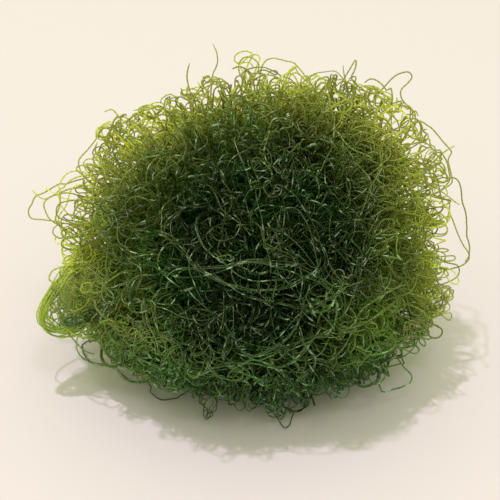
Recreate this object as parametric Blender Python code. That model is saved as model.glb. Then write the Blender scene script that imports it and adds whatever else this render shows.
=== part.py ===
# Chaetomorpha algae, a damp handful tipped out on a flat surface
# The mass is a mat of hundreds of wiry, unbranched filaments, matted together: one solid, with the locks
# and loops that give the mat its tangled look fused to it. The filaments that lie loose on the outside
# and can be told apart are pieces of their own. Metres, +Z up, +X to the right and -Y to the front.
import math
import random

import bmesh
import bpy
from mathutils import Matrix, Vector, noise
from mathutils.bvhtree import BVHTree

# Size of the mat, without its locks and loops
MAT_HALF_WIDTH = 0.0465
MAT_HALF_DEPTH = 0.0390
MAT_TOP_RISE = 0.0405
MAT_BELLY_DROP = 0.0385
MID_HEIGHT = 0.0345
BELLY_SQUARENESS = 2.3

# Between its locks the mat lies lower than its outer surface by this
MOUND_SINK = 0.0011

# Lumps of the mat: depth and spacing of the broad ones and of the fine ones
BROAD_LUMP, BROAD_SPACING = 0.0030, 0.020
FINE_LUMP, FINE_SPACING = 0.0016, 0.0090
FINE_SHIFT = Vector((7.0, 3.0, 5.0))

# The mound, locks and loops are grown together on a grid this fine, then thinned to about this many faces
FUSED_GRAIN = 0.0007
TANGLE_FACES = 7500
PINCH_ROUNDS = 4

# Bulges and hollows that can be named: compass angle and elevation (degrees), rise (metres), spread (degrees)
BULGES = {
    "left_flap": (186, -21, 0.0060, 11),
    "left_shoulder": (172, 12, 0.0014, 15),
    "right_shoulder": (32, 36, 0.0050, 22),
    "right_hip": (-10, -16, 0.0030, 20),
    "crown": (82, 62, 0.0015, 22),
    "left_foot": (172, -44, 0.0030, 20),
    "right_foot": (-8, -44, 0.0030, 20),
    "back_foot": (95, -36, 0.0030, 24),
    "front_hollow": (-118, -50, -0.0030, 24),
    "left_hollow": (176, -4, -0.0035, 9),
    "upper_left_hollow": (140, 40, -0.0030, 20),
    "right_hollow": (10, -34, -0.0030, 12),
}

# Locks: bundles of filaments that run along the surface and dive back into the mat. Turn is in radians a step
# and sway is the share of it that comes and goes. A higher shoulder makes a lock rise later
LOCK_COUNT = 80
LOCK_LENGTH = (0.034, 0.062)
LOCK_RADIUS = (0.0012, 0.0020)
LOCK_CREST = (0.0006, 0.0028)
LOCK_ROOT_DEPTH = 0.0030
LOCK_STEPS = 20
LOCK_SIDES = 8
LOCK_TURN = 0.17
LOCK_SWAY = (0.5, 1.5)
LOCK_SHOULDER = 0.45
LOCK_TIP = 0.55

# Loops: tufts that stand out of the mat and reach the tips of its loose filaments
LOOP_COUNT = 26
LOOP_SPAN = (0.008, 0.013)
LOOP_RISE = (0.0038, 0.0070)
LOOP_BOW = 0.003
LOOP_RADIUS = 0.0009
LOOP_ROOT_DEPTH = 0.0036
LOOP_STEPS = 12
LOOP_SIDES = 8

# Below this height of the unit direction the mat lies on the surface, and nothing starts there
LOWEST_START = -0.60

# Loose filaments: one real filament each, kept clear of the mat by the gap that touching meshes need
FILAMENT_RADIUS = 0.00028
FILAMENT_STEPS = 18
FILAMENT_SIDES = 4
FINE_STEPS = 8
REST_GAP = 0.00035
HIGHEST_LIFT = 0.0090
LIFT_STEP = 0.00015
LIFT_FALL = 0.0005
LOWEST_FILAMENT = 0.0008
LEVEL_BELOW = 0.010

# The loose filaments are placed as they are seen from the front, from this elevation and distance from the middle
SIGHT_LIFT = 35
SIGHT_DISTANCE = 0.42

# Loose filaments at the rim: how far one end lies in front of the other (mm), and the places that each passes
# as seen from the front, in mm across and up from the middle
RIM_FILAMENTS = {
    "crown_loop": (4.0, [
        (-2.2, 40.4), (-1.8, 43.0), (-1.2, 45.2), (-0.5, 47.0), (-1.0, 48.2), (-2.6, 48.5), (-4.2, 47.8),
        (-5.2, 46.2), (-4.0, 45.0), (-2.2, 45.8), (-0.4, 46.0), (1.0, 45.2), (1.5, 43.6), (0.4, 40.6),
    ]),
    "crown_arch": (3.0, [
        (1.8, 40.4), (3.0, 43.0), (4.2, 44.2), (6.0, 44.9), (7.8, 45.3), (9.5, 45.0), (11.0, 43.8),
        (12.5, 42.2), (13.8, 39.4),
    ]),
    "right_shoulder_loop": (3.0, [
        (29.5, 35.4), (32.0, 38.2), (33.5, 39.8), (35.0, 41.0), (36.8, 41.8), (38.3, 41.9), (38.9, 40.8),
        (38.0, 39.3), (36.8, 38.0), (36.9, 35.8), (38.0, 34.2), (39.0, 32.6), (38.4, 30.0), (36.5, 27.5),
    ]),
    "right_shoulder_arch": (-2.0, [
        (39.0, 29.0), (40.5, 30.5), (42.5, 29.4), (44.2, 28.2), (46.2, 26.2), (48.0, 24.2), (49.0, 22.8),
        (48.2, 21.5), (47.8, 20.0), (48.3, 18.0), (48.8, 16.2), (48.4, 14.8), (46.5, 13.4), (44.0, 12.2),
    ]),
    "right_hip_loop": (2.0, [
        (44.0, 14.8), (46.0, 13.2), (47.2, 10.3), (48.8, 7.8), (50.0, 5.2), (51.2, 2.2), (52.5, 0.0),
        (53.4, -2.2), (53.0, -4.0), (51.6, -5.0), (49.5, -5.5), (45.0, -6.2),
    ]),
    "right_foot_arch": (-2.0, [
        (26.5, -30.0), (27.2, -33.0), (28.8, -34.4), (31.0, -34.6), (33.0, -33.6), (34.4, -31.6),
        (34.4, -29.2), (32.0, -26.5),
    ]),
    "front_foot_loop": (2.0, [
        (3.5, -36.0), (4.8, -39.6), (5.3, -42.0), (6.2, -43.8), (7.1, -44.6), (8.0, -43.4), (9.4, -41.8),
        (11.0, -40.2), (11.5, -36.5),
    ]),
    "front_left_arch": (-2.0, [
        (-41.0, -21.0), (-42.8, -24.5), (-42.8, -27.6), (-41.0, -29.7), (-38.5, -30.3), (-36.0, -30.6),
        (-34.2, -31.5), (-33.0, -33.3), (-31.0, -34.8), (-28.5, -35.0), (-25.5, -32.5),
    ]),
    "left_flap_loop": (2.0, [
        (-47.0, -8.6), (-50.2, -11.6), (-52.0, -13.5), (-52.8, -15.5), (-53.1, -17.8), (-53.0, -19.8),
        (-52.0, -21.8), (-50.0, -22.6), (-47.5, -22.9), (-45.0, -22.2), (-41.5, -20.5),
    ]),
    "left_shoulder_loop": (-2.5, [
        (-45.5, 5.0), (-49.0, 5.2), (-51.5, 5.2), (-53.4, 5.4), (-54.8, 6.5), (-55.5, 8.0), (-55.0, 9.6),
        (-53.6, 11.0), (-51.8, 11.3), (-49.8, 11.6), (-47.5, 12.2), (-43.5, 13.6),
    ]),
    "left_shoulder_arch": (2.0, [
        (-41.0, 16.5), (-43.0, 20.0), (-42.6, 22.6), (-41.2, 24.8), (-39.8, 26.8), (-39.1, 28.8),
        (-38.0, 30.1), (-36.4, 30.0), (-34.6, 29.2), (-32.8, 30.2), (-31.2, 31.0), (-28.5, 29.0),
    ]),
}

# Loose filaments that lie on the front, by the places that they are seen to pass
FRONT_FILAMENTS = {
    "upper_front_strand": [(-18.2, 8.0), (-20.5, 5.5), (-20.8, 2.5), (-19.2, 0.0), (-16.8, -3.0), (-15.0, -5.2)],
    "right_front_strand": [(8.6, 11.5), (11.5, 7.8), (14.0, 4.0), (15.2, 0.2), (15.8, -4.5)],
    "lower_front_strand": [
        (-16.0, -8.2), (-10.8, -7.6), (-6.8, -6.8), (-1.8, -5.2), (4.2, -5.4), (9.0, -6.2), (12.0, -7.4),
        (15.5, -9.2), (19.0, -12.0),
    ],
}

# Loose filaments behind: compass angle and elevation of the middle, heading, length, rise and sideways bow
BACK_FILAMENTS = {
    "back_arch": (120, 10, 70, 0.034, 0.0045, -0.005),
    "back_loop": (62, -4, 15, 0.024, 0.0060, 0.003),
}

# Finish: linear colour, roughness and metallic value
WET_GREEN = (0.045, 0.105, 0.018)
PALE_GREEN = (0.190, 0.260, 0.035)
WET_ROUGHNESS = 0.42

SEED = 11
MIDDLE = Vector((0.0, 0.0, MID_HEIGHT))


def direction_of(compass, elevation):
    """The unit vector at a compass angle from +X and an elevation, both in degrees."""
    turn, lift = math.radians(compass), math.radians(elevation)
    return Vector((math.cos(turn) * math.cos(lift), math.sin(turn) * math.cos(lift), math.sin(lift)))


def plain_reach(way):
    """Distance from the middle to the smooth mound's surface: round above, squarer and wider below."""
    if way.z >= 0:
        power, rise = 2.0, MAT_TOP_RISE
    else:
        power, rise = BELLY_SQUARENESS, MAT_BELLY_DROP
    flat = math.hypot(way.x / MAT_HALF_WIDTH, way.y / MAT_HALF_DEPTH)
    return (flat**power + abs(way.z / rise) ** power) ** (-1.0 / power)


def mat_reach(way):
    """Distance from the middle to the mat's surface, with its bulges, hollows and lumps."""
    reach = plain_reach(way)
    for compass, elevation, rise, spread in BULGES.values():
        apart = math.degrees(way.angle(direction_of(compass, elevation)))
        reach += rise * math.exp(-((apart / spread) ** 2))
    spot = way * reach
    reach += BROAD_LUMP * noise.noise(spot / BROAD_SPACING)
    reach += FINE_LUMP * noise.noise(spot / FINE_SPACING + FINE_SHIFT)
    return reach


def finish(name, colour):
    """A damp, slightly glossy algae finish."""
    material = bpy.data.materials.new(name)
    material.use_nodes = True
    shader = material.node_tree.nodes["Principled BSDF"]
    shader.inputs["Base Color"].default_value = (*colour, 1.0)
    shader.inputs["Roughness"].default_value = WET_ROUGHNESS
    shader.inputs["Metallic"].default_value = 0.0
    return material


def place(name, mesh, material=None):
    """Links a mesh to the scene as an object."""
    made = bpy.data.objects.new(name, mesh)
    bpy.context.scene.collection.objects.link(made)
    if material:
        mesh.materials.append(material)
    return made


def add_tube(bm, path, radii, sides):
    """Adds a closed tube along a path to a bmesh: one ring a point, bridged, with a cap at both ends."""
    rings = []
    side = (path[1] - path[0]).orthogonal().normalized()
    for index, point in enumerate(path):
        ahead = path[min(index + 1, len(path) - 1)] - path[max(index - 1, 0)]
        ahead.normalize()
        side = (side - ahead * side.dot(ahead)).normalized()
        turn = Matrix((side, ahead.cross(side), ahead)).transposed().to_4x4()
        ring = bmesh.ops.create_circle(
            bm,
            cap_ends=False,
            segments=sides,
            radius=radii[index],
            matrix=Matrix.Translation(point) @ turn,
        )["verts"]
        rings.append(ring)
    faces = []
    for near, far in zip(rings, rings[1:]):
        for k in range(sides):
            after = (k + 1) % sides
            faces.append(bm.faces.new((near[k], near[after], far[after], far[k])))
    faces.append(bm.faces.new(list(reversed(rings[0]))))
    faces.append(bm.faces.new(rings[-1]))
    return faces


def surface_walk(way, heading, length, steps, turn_at):
    """Unit vectors along a walk over the mat's surface, which turns turn_at(share) radians at each step."""
    ways = [way.copy()]
    stride = length / steps / plain_reach(way)
    for index in range(steps):
        way = (way + heading * stride).normalized()
        heading = (heading - way * heading.dot(way)).normalized()
        heading = Matrix.Rotation(turn_at(index / steps), 3, way) @ heading
        ways.append(way.copy())
    return ways


def add_mound(bm):
    """The lumpy mound, from a ball whose points are pushed out to the mat's surface."""
    for vert in bmesh.ops.create_icosphere(bm, subdivisions=4, radius=1.0)["verts"]:
        way = vert.co.normalized()
        vert.co = MIDDLE + way * (mat_reach(way) - MOUND_SINK)


def spread_ways(count, first_turn):
    """Directions spaced evenly on a golden spiral, from the top down to where the mat lies on the surface."""
    golden = math.pi * (3 - math.sqrt(5))
    ways = []
    for index in range(count):
        height = 1 - (1 - LOWEST_START) * (index + 0.5) / count
        out = math.sqrt(1 - height * height)
        turn = first_turn + golden * index
        ways.append(Vector((math.cos(turn) * out, math.sin(turn) * out, height)))
    return ways


def any_heading(way, dice):
    """A direction along the surface, at a random turn."""
    return (Matrix.Rotation(dice.uniform(0, math.tau), 3, way) @ way.orthogonal()).normalized()


def add_locks(bm, dice):
    """Bundles that wander over the mat, deep at both ends and proud in the middle."""
    for way in spread_ways(LOCK_COUNT, 0.0):
        heading = any_heading(way, dice)
        bend = dice.uniform(-LOCK_TURN, LOCK_TURN)
        sway = dice.uniform(*LOCK_SWAY) * LOCK_TURN
        ways = surface_walk(
            way,
            heading,
            dice.uniform(*LOCK_LENGTH),
            LOCK_STEPS,
            lambda share: bend + sway * math.sin(math.tau * share),
        )
        crest, radius = dice.uniform(*LOCK_CREST), dice.uniform(*LOCK_RADIUS)
        path, radii = [], []
        for index, way in enumerate(ways):
            arch = math.sin(math.pi * index / LOCK_STEPS)
            lift = -LOCK_ROOT_DEPTH + (LOCK_ROOT_DEPTH + crest) * arch**LOCK_SHOULDER
            path.append(MIDDLE + way * (mat_reach(way) + lift))
            radii.append(radius * (LOCK_TIP + (1 - LOCK_TIP) * arch))
        add_tube(bm, path, radii, LOCK_SIDES)


def arch_path(way, heading, span, rise, root, steps, bow=0.0):
    """A loop that leaves the mat, stands out by rise at its middle, bows sideways and comes back."""
    stretch = span / plain_reach(way)
    side = way.cross(heading)
    path = []
    for index in range(steps + 1):
        share = index / steps
        turn = (0.5 - 0.5 * math.cos(math.pi * share)) - 0.5
        arch = math.sin(math.pi * share)
        spot = (way + heading * stretch * turn + side * (bow / plain_reach(way)) * arch).normalized()
        path.append(MIDDLE + spot * (mat_reach(spot) - root + (root + rise) * arch))
    return path


def add_loops(bm, dice):
    """Tufts all round that stand out of the mat as far as its loose filaments do."""
    for way in spread_ways(LOOP_COUNT, 1.0):
        path = arch_path(
            way,
            any_heading(way, dice),
            dice.uniform(*LOOP_SPAN),
            dice.uniform(*LOOP_RISE),
            LOOP_ROOT_DEPTH,
            LOOP_STEPS,
            dice.uniform(-LOOP_BOW, LOOP_BOW),
        )
        add_tube(bm, path, [LOOP_RADIUS] * len(path), LOOP_SIDES)


def shaped_mesh(thing):
    """A copy of an object's mesh as its modifiers leave it."""
    graph = bpy.context.evaluated_depsgraph_get()
    graph.update()
    return bpy.data.meshes.new_from_object(thing.evaluated_get(graph))


def islands_of(bm):
    """The faces of a bmesh, as a list for each surface that hangs together."""
    left, islands = set(bm.faces), []
    while left:
        island, to_visit = [], [left.pop()]
        while to_visit:
            face = to_visit.pop()
            island.append(face)
            for edge in face.edges:
                for other in edge.link_faces:
                    if other in left:
                        left.remove(other)
                        to_visit.append(other)
        islands.append(island)
    return islands


def fill_pockets(bm):
    """Deletes the small sealed surfaces that locks close off against the mat, so that it is solid there."""
    for island in sorted(islands_of(bm), key=len)[:-1]:
        bmesh.ops.delete(bm, geom=island, context="FACES")


def cut_flat(bm):
    """Cuts a shape off at the surface that it lies on, and closes the cut with flat faces."""
    bmesh.ops.bisect_plane(
        bm,
        geom=[*bm.verts, *bm.edges, *bm.faces],
        plane_co=(0, 0, 0),
        plane_no=(0, 0, 1),
        clear_inner=True,
    )
    rim = [edge for edge in bm.edges if edge.is_boundary]
    bmesh.ops.holes_fill(bm, edges=rim, sides=0)


def open_pinches(bm):
    """Takes away the points where the surface touches itself, and closes the holes that this leaves."""
    for _ in range(PINCH_ROUNDS):
        pinched = {vert for edge in bm.edges if len(edge.link_faces) != 2 for vert in edge.verts}
        pinched |= {vert for vert in bm.verts if not vert.is_manifold}
        if not pinched:
            return
        bmesh.ops.delete(bm, geom=list(pinched), context="VERTS")
        rim = [edge for edge in bm.edges if edge.is_boundary]
        closed = bmesh.ops.holes_fill(bm, edges=rim, sides=0)["faces"]
        bmesh.ops.triangulate(bm, faces=closed)


def make_tangle(material):
    """The mat with its locks and loops grown together, cut off flat where it lies."""
    dice = random.Random(SEED)
    bm = bmesh.new()
    add_mound(bm)
    add_locks(bm, dice)
    add_loops(bm, dice)
    mesh = bpy.data.meshes.new("mound_and_locks")
    bm.to_mesh(mesh)
    mound = place("mound", mesh)
    fuse = mound.modifiers.new("grown_together", "REMESH")
    fuse.mode = "VOXEL"
    fuse.voxel_size = FUSED_GRAIN
    squares = len(shaped_mesh(mound).polygons)
    thin = mound.modifiers.new("fewer_faces", "DECIMATE")
    thin.ratio = TANGLE_FACES / (2 * squares)
    mesh = shaped_mesh(mound)
    bpy.data.objects.remove(mound)

    bm.clear()
    bm.from_mesh(mesh)
    cut_flat(bm)
    fill_pockets(bm)
    bmesh.ops.triangulate(bm, faces=bm.faces)
    open_pinches(bm)
    bm.to_mesh(mesh)
    bm.free()
    return place("tangle", mesh, material)


def add_surface(thing, verts, faces):
    """Adds an object's surface, with its modifiers, to the lists that a search tree is made from."""
    graph = bpy.context.evaluated_depsgraph_get()
    graph.update()
    shaped = thing.evaluated_get(graph)
    mesh = shaped.to_mesh()
    first = len(verts)
    verts.extend(vert.co.copy() for vert in mesh.vertices)
    faces.extend([first + k for k in face.vertices] for face in mesh.polygons)
    shaped.to_mesh_clear()


def outward(point):
    """The way that a filament is lifted in: straight out from the middle, but level near the floor."""
    way = (point - MIDDLE).normalized()
    above = max(point.z - LOWEST_FILAMENT, 0.0)
    way.z *= min(above / LEVEL_BELOW, 1.0)
    return way.normalized()


def lift_needed(point, tree):
    """How far out a point must move for the filament to lie on top of all there."""
    way = outward(point)
    lift = HIGHEST_LIFT
    while lift > 0:
        apart = tree.find_nearest(point + way * (lift - LIFT_STEP))[3]
        if apart < FILAMENT_RADIUS + REST_GAP:
            break
        lift -= LIFT_STEP
    return lift


def drape(fine_path, tree):
    """Every few points of a fine path, each lifted by the most that its stretch needs, with gentle falls."""
    needs = [lift_needed(point, tree) for point in fine_path]
    kept = range(0, len(fine_path), FINE_STEPS)
    lifts = [max(needs[max(index - FINE_STEPS, 0) : index + FINE_STEPS + 1]) for index in kept]
    for k in range(1, len(lifts)):
        lifts[k] = max(lifts[k], lifts[k - 1] - LIFT_FALL)
    for k in reversed(range(len(lifts) - 1)):
        lifts[k] = max(lifts[k], lifts[k + 1] - LIFT_FALL)
    path = []
    for index, lift in zip(kept, lifts):
        path.append(fine_path[index] + outward(fine_path[index]) * lift)
    return path


def sight_axes():
    """Right, up and towards the eye, as the loose filaments are seen."""
    lift = math.radians(SIGHT_LIFT)
    back = Vector((0, -math.cos(lift), math.sin(lift)))
    right = Vector((1, 0, 0))
    return right, back.cross(right), back


def rim_spot(across, up, ahead):
    """A place at the rim: level with the middle along the line of sight, or nearer where the floor is in the way."""
    right, above, back = sight_axes()
    spot = MIDDLE + right * across + above * up + back * ahead
    if spot.z < LOWEST_FILAMENT:
        spot += back * ((LOWEST_FILAMENT - spot.z) / back.z)
    return spot


def front_spot(across, up):
    """The place on the mat's surface that is seen there."""
    right, above, back = sight_axes()
    eye = MIDDLE + back * SIGHT_DISTANCE
    way = (MIDDLE + right * across + above * up - eye).normalized()
    inside = (MIDDLE - eye).dot(way)
    outside = inside - 2 * MAT_HALF_WIDTH
    for _ in range(20):
        half = (inside + outside) / 2
        out = eye + way * half - MIDDLE
        if out.length > mat_reach(out.normalized()):
            outside = half
        else:
            inside = half
    return eye + way * inside


def smooth_path(spots, count):
    """Evenly spaced points, count steps in all, along a smooth curve through the spots."""
    ends = [2 * spots[0] - spots[1], *spots, 2 * spots[-1] - spots[-2]]
    fine = []
    for a, b, c, d in zip(ends, ends[1:], ends[2:], ends[3:]):
        for step in range(12):
            s = step / 12
            fine.append(
                0.5 * (2 * b + (c - a) * s + (2 * a - 5 * b + 4 * c - d) * s**2 + (3 * b - a - 3 * c + d) * s**3)
            )
    fine.append(spots[-1])
    run = [0.0]
    for near, far in zip(fine, fine[1:]):
        run.append(run[-1] + (far - near).length)
    path, index = [], 0
    for step in range(count + 1):
        at = run[-1] * step / count
        while index < len(run) - 2 and run[index + 1] < at:
            index += 1
        share = (at - run[index]) / max(run[index + 1] - run[index], 1e-9)
        path.append(fine[index].lerp(fine[index + 1], min(share, 1.0)))
    return path


def rim_path(ahead, places, steps):
    """A filament at the rim, from one end a little behind to the other a little in front."""
    spots = []
    for index, (across, up) in enumerate(places):
        share = index / (len(places) - 1) - 0.5
        spots.append(rim_spot(across / 1000, up / 1000, ahead / 1000 * share))
    return smooth_path(spots, steps)


def front_path(places, steps):
    """A filament that lies on the front."""
    return smooth_path([front_spot(across / 1000, up / 1000) for across, up in places], steps)


def back_path(compass, elevation, slant, length, rise, bow, steps):
    """A filament that arches over the back."""
    way = direction_of(compass, elevation)
    level = Vector((0, 0, 1)).cross(way).normalized()
    heading = Matrix.Rotation(math.radians(slant), 3, way) @ level
    return arch_path(way, heading, length, rise, 0.0, steps, bow)


def make_filament(name, fine_path, tree, material):
    """One loose filament that rests on the mat."""
    path = drape(fine_path, tree)
    for point in path:
        point.z = max(point.z, LOWEST_FILAMENT)
    bm = bmesh.new()
    add_tube(bm, path, [FILAMENT_RADIUS] * len(path), FILAMENT_SIDES)
    mesh = bpy.data.meshes.new(name)
    bm.to_mesh(mesh)
    bm.free()
    return place(name, mesh, material)


def main():
    for thing in list(bpy.data.objects):
        bpy.data.objects.remove(thing)
    wet, pale = finish("wet_algae", WET_GREEN), finish("pale_algae", PALE_GREEN)
    steps = FILAMENT_STEPS * FINE_STEPS
    paths = {name: rim_path(ahead, places, steps) for name, (ahead, places) in RIM_FILAMENTS.items()}
    paths.update({name: front_path(places, steps) for name, places in FRONT_FILAMENTS.items()})
    paths.update({name: back_path(*settings, steps) for name, settings in BACK_FILAMENTS.items()})
    verts, faces = [], []
    add_surface(make_tangle(wet), verts, faces)
    for name, fine_path in paths.items():
        tree = BVHTree.FromPolygons(verts, faces)
        add_surface(make_filament(name, fine_path, tree, pale), verts, faces)


main()
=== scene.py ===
import math

import bmesh
import bpy
import numpy as np
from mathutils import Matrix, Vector
from mathutils.bvhtree import BVHTree


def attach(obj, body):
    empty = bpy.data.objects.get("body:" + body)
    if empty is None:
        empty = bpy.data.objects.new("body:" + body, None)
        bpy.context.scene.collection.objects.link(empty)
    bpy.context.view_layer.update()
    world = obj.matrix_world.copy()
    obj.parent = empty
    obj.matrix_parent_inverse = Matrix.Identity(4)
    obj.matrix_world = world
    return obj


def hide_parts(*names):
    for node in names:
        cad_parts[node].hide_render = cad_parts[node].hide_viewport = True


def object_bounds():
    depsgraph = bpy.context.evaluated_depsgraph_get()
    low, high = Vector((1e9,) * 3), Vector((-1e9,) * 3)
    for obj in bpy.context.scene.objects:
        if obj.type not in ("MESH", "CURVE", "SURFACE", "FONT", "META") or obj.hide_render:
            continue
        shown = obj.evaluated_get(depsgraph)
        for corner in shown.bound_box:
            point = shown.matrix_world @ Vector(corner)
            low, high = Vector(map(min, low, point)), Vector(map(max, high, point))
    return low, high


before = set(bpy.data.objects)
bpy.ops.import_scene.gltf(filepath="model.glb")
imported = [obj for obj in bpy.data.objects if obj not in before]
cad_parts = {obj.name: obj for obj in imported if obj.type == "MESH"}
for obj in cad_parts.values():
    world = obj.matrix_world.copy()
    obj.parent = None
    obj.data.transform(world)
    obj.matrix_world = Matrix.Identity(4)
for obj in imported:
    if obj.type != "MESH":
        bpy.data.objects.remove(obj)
cadBox = [list(corner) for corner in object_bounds()]

# Everything below is in metres, in the same frame as the mat
middle = np.array((0.0, 0.0, 0.0345))
seeds = {"fringe": 40, "loose": 100, "strands": 200, "floor": 230, "nets": 260}

# The view of the photograph

view = {
    "elevation": 35.0,
    "distance": 0.42,
    "aim": (-0.0010, -0.0010, 0.0331),
    "lens": 121.2,
    "sensor": 36.0,
    "across": 500,  # how many steps the view is wide and high where strands are placed
}


def addCamera(place):
    tilt = math.radians(place["elevation"])
    data = bpy.data.cameras.new("camera")
    data.lens = place["lens"]
    data.sensor_width = place["sensor"]
    data.clip_start = 0.01
    data.clip_end = 20.0
    camera = bpy.data.objects.new("camera", data)
    back = Vector((0.0, -math.cos(tilt), math.sin(tilt)))
    camera.location = Vector(place["aim"]) + back * place["distance"]
    camera.rotation_euler = (math.pi / 2 - tilt, 0.0, 0.0)
    bpy.context.scene.collection.objects.link(camera)
    bpy.context.scene.camera = camera


addCamera(view)
print("camera placed")

# How far the mat reaches from its middle in every direction, read from its solid

reach = {
    "rows": 46,
    "columns": 90,
    "under": 0.0008,  # how far the mat's own outline lies under the solid's locks
    "blur": 5.0,  # degrees
    "poleShare": 0.02,  # the least weight of a direction near straight up or down
}


def unit(vectors):
    return vectors / np.maximum(np.linalg.norm(vectors, axis=-1, keepdims=True), 1e-12)


def mergedCopy(node):
    bm = bmesh.new()
    bm.from_mesh(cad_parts[node].data)
    bmesh.ops.remove_doubles(bm, verts=bm.verts, dist=1e-6)
    return bm


def readReach(node, plan):
    bm = mergedCopy(node)
    tree = BVHTree.FromBMesh(bm)
    bm.free()
    lifts = np.radians(np.linspace(-90, 90, plan["rows"]))
    turns = np.radians(np.linspace(0, 360, plan["columns"], endpoint=False))
    lift, turn = np.meshgrid(lifts, turns, indexing="ij")
    ways = np.stack([np.cos(turn) * np.cos(lift), np.sin(turn) * np.cos(lift), np.sin(lift)], -1)
    ways = ways.reshape(-1, 3)
    start = Vector(middle)
    far = np.array([tree.ray_cast(start, Vector(way))[3] for way in ways])
    spread = math.radians(plan["blur"])
    weight = np.exp((ways @ ways.T - 1) / spread**2)
    weight *= np.maximum(np.cos(lift.ravel()), plan["poleShare"])
    smooth = (weight @ far) / weight.sum(1)
    return smooth.reshape(lift.shape) - plan["under"]


reachTable = readReach("tangle", reach)


def reachAt(ways):
    rows, columns = reachTable.shape
    row = (np.degrees(np.arcsin(np.clip(ways[..., 2], -1, 1))) + 90) / 180 * (rows - 1)
    column = np.degrees(np.arctan2(ways[..., 1], ways[..., 0])) % 360 / 360 * columns
    row0 = np.clip(row.astype(int), 0, rows - 2)
    column0 = column.astype(int) % columns
    column1 = (column0 + 1) % columns
    up, across = row - row0, column - np.floor(column)
    low = reachTable[row0, column0] * (1 - across) + reachTable[row0, column1] * across
    high = reachTable[row0 + 1, column0] * (1 - across) + reachTable[row0 + 1, column1] * across
    return low * (1 - up) + high * up


def depthOf(spots):
    away = spots - middle
    return reachAt(unit(away)) - np.linalg.norm(away, axis=-1)


print("mat outline read:", round(float(reachTable.min()), 4), "to", round(float(reachTable.max()), 4))

# The mat is dense where it faces up and forward or the other way, and low in front, and thin in between. The
# same
# map paints the colours: the thin rim pale as painted light coming through it, and the dense faces and the
# low front dark as painted shade

facing = {
    "denseWay": (0.0, -0.86, 0.51),
    "lowWay": (0.0, -0.62, -0.78),
    "lowShare": 0.88,
    "rimFrom": 0.66,
    "rimOver": 0.32,
}


def faceOf(spots):
    out = unit(spots - middle)
    return np.maximum(np.abs(out @ facing["denseWay"]), facing["lowShare"] * (out @ facing["lowWay"]))


def rimOf(spots):
    return np.clip((facing["rimFrom"] - faceOf(spots)) / facing["rimOver"], 0, 1)


# Round the edge the mat is dented here and there, and the outermost strands bridge the dents

dents = {
    "seed": 41,
    "waves": 5,
    "pitch": 10.0,
    "from": 0.08,
    "over": 0.30,
    "deep": 0.0033,
}
dentWaves = np.random.default_rng(dents["seed"]).normal(0, dents["pitch"], (3, dents["waves"]))


def dentOf(spots):
    wave = np.sin(unit(spots - middle) @ dentWaves + np.arange(dents["waves"])).mean(-1)
    return dents["deep"] * np.clip((wave - dents["from"]) / dents["over"], 0, 1) * rimOf(spots)


# Growing filaments: each one wanders with a slowly changing curl, and is steered to the depth that it wants

floorGap = 0.0004  # from the floor to the middle of the lowest filament
slant = 0.25  # of a filament's start, off the surface of the mat
steering = (-3, 1)  # how hard a filament may be steered in and out

walls = {
    "over": (0.0024, 0.0020, 0.0018),  # how far filaments may stand out of the solids' box
    "soft": 0.004,
    "push": 900.0,
    "rise": 0.0065,  # how far loops may stand out of the mat
}
lowPart = {"under": 0.055, "over": 0.030}  # the heights between which filaments start to lie round the mat

boxLow = np.array(cadBox[0]) - walls["over"]
boxHigh = np.array(cadBox[1]) + walls["over"]


def growPaths(dice, starts, ways, wanted, plan):
    count, steps = wanted.shape[0], wanted.shape[1] - 1
    stride = plan["stride"]
    memory = math.exp(-stride / plan["curlLength"])
    shake = plan["curl"] * math.sqrt(1 - memory**2)
    spin = dice.normal(0, plan["curl"], (count, 3))
    lively = np.exp(dice.normal(0, plan["variety"], (count, 1)))
    paths = np.empty((count, steps + 1, 3))
    spots, ways = starts.copy(), unit(ways)
    paths[:, 0] = spots
    for step in range(steps):
        out = unit(spots - middle)
        depth = reachAt(out) - np.linalg.norm(spots - middle, axis=1) - plan["rimSink"] * rimOf(spots)
        depth -= dentOf(spots)
        error = np.clip((depth - wanted[:, step + 1]) / plan["slack"], *steering)
        spin = spin * memory + dice.normal(0, shake, (count, 3))
        turn = np.cross(spin * lively, ways) + plan["pull"] * out * error[:, None]
        # Lower down, the filaments lie round the mat rather than across it
        lay = np.stack([-out[:, 1], out[:, 0], np.zeros(count)], 1)
        lower = np.clip((lowPart["under"] - spots[:, 2]) / lowPart["over"], 0, 1)
        turn += (plan["lay"] * np.sign((lay * ways).sum(1)) * lower)[:, None] * lay
        low = np.clip((plan["slack"] - spots[:, 2]) / plan["slack"], 0, 1)
        turn[:, 2] += 2 * plan["pull"] * low
        turn -= walls["push"] * np.clip((spots - boxHigh + walls["soft"]) / walls["soft"], 0, 1)
        turn[:, :2] += walls["push"] * np.clip((boxLow + walls["soft"] - spots) / walls["soft"], 0, 1)[:, :2]
        kinked = dice.random(count) < stride / plan["kinkEvery"]
        turn += dice.normal(0, plan["kink"] / stride, (count, 3)) * kinked[:, None]
        turn -= ways * (turn * ways).sum(1, keepdims=True)
        ways = unit(ways + turn * stride)
        spots = spots + ways * stride
        spots[:, 2] = np.maximum(spots[:, 2], floorGap)
        paths[:, step + 1] = spots
    return held(paths)


def held(paths):
    away = paths - middle
    far = np.linalg.norm(away, axis=-1, keepdims=True)
    edge = reachAt(away / far)[..., None]
    over = np.maximum(far - edge, 0)
    far = np.where(over > 0, edge + walls["rise"] * np.tanh(over / walls["rise"]), far)
    paths = middle + unit(away) * far
    soft = walls["soft"] / 2
    high, low = boxHigh - soft, boxLow[:2] + soft
    paths = np.where(paths > high, high + soft * np.tanh((paths - high) / soft), paths)
    flat = paths[..., :2]
    paths[..., :2] = np.where(flat < low, low - soft * np.tanh((low - flat) / soft), flat)
    paths[..., 2] = np.maximum(paths[..., 2], floorGap)
    return paths


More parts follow.
